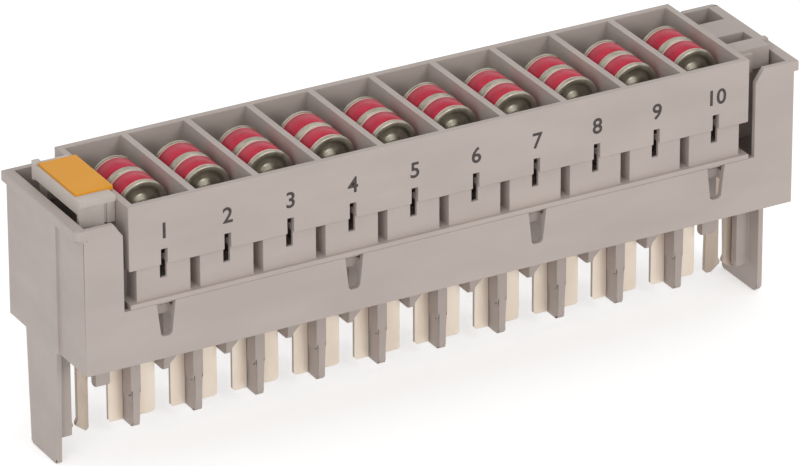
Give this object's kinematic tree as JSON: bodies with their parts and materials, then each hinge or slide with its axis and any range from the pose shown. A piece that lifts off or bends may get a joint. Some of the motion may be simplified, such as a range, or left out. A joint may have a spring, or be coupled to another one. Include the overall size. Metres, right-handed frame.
{
  "type": "surge protection plug",
  "caption": "Slim plug-in surge protection magazine for a terminal strip, with a row of gas tubes in open compartments, contact blades below and an earth fork at each end.",
  "frame": {"origin": "bottom centre of the bounding box, midway along the row of pairs and between the front and the back, at the height of the two leg tips", "axes": "+X along the row of pairs, away from the label, +Y from the marked front to the back, +Z from the leg tips to the open top of the magazine"},
  "size_m": [0.1254, 0.025, 0.0464],
  "materials": {
    "housing_plastic": "moulded, fine satin",
    "magazine_plastic": "moulded, fine satin",
    "holder_plastic": "moulded, fine satin",
    "label_plastic": "moulded, satin",
    "earth_metal": "tin plated, satin",
    "contact_metal": "tin plated, bright",
    "gas_tube": "glazed red bands between nickel plated rings"
  },
  "bodies": {
    "root": {"base_housing": "housing_plastic", "magazine": "magazine_plastic", "label_holder": "holder_plastic", "label_plate": "label_plastic", "earth_rail": "earth_metal", "earth_fork_left": "earth_metal", "earth_fork_right": "earth_metal", "gas_tube_01": "gas_tube", "gas_tube_02": "gas_tube", "gas_tube_03": "gas_tube", "gas_tube_04": "gas_tube", "gas_tube_05": "gas_tube", "gas_tube_06": "gas_tube", "gas_tube_07": "gas_tube", "gas_tube_08": "gas_tube", "gas_tube_09": "gas_tube", "gas_tube_10": "gas_tube", "line_contact_a_01": "contact_metal", "line_contact_a_02": "contact_metal", "line_contact_a_03": "contact_metal", "line_contact_a_04": "contact_metal", "line_contact_a_05": "contact_metal", "line_contact_a_06": "contact_metal", "line_contact_a_07": "contact_metal", "line_contact_a_08": "contact_metal", "line_contact_a_09": "contact_metal", "line_contact_a_10": "contact_metal", "line_contact_b_01": "contact_metal", "line_contact_b_02": "contact_metal", "line_contact_b_03": "contact_metal", "line_contact_b_04": "contact_metal", "line_contact_b_05": "contact_metal", "line_contact_b_06": "contact_metal", "line_contact_b_07": "contact_metal", "line_contact_b_08": "contact_metal", "line_contact_b_09": "contact_metal", "line_contact_b_10": "contact_metal"}
  },
  "joints": []
}
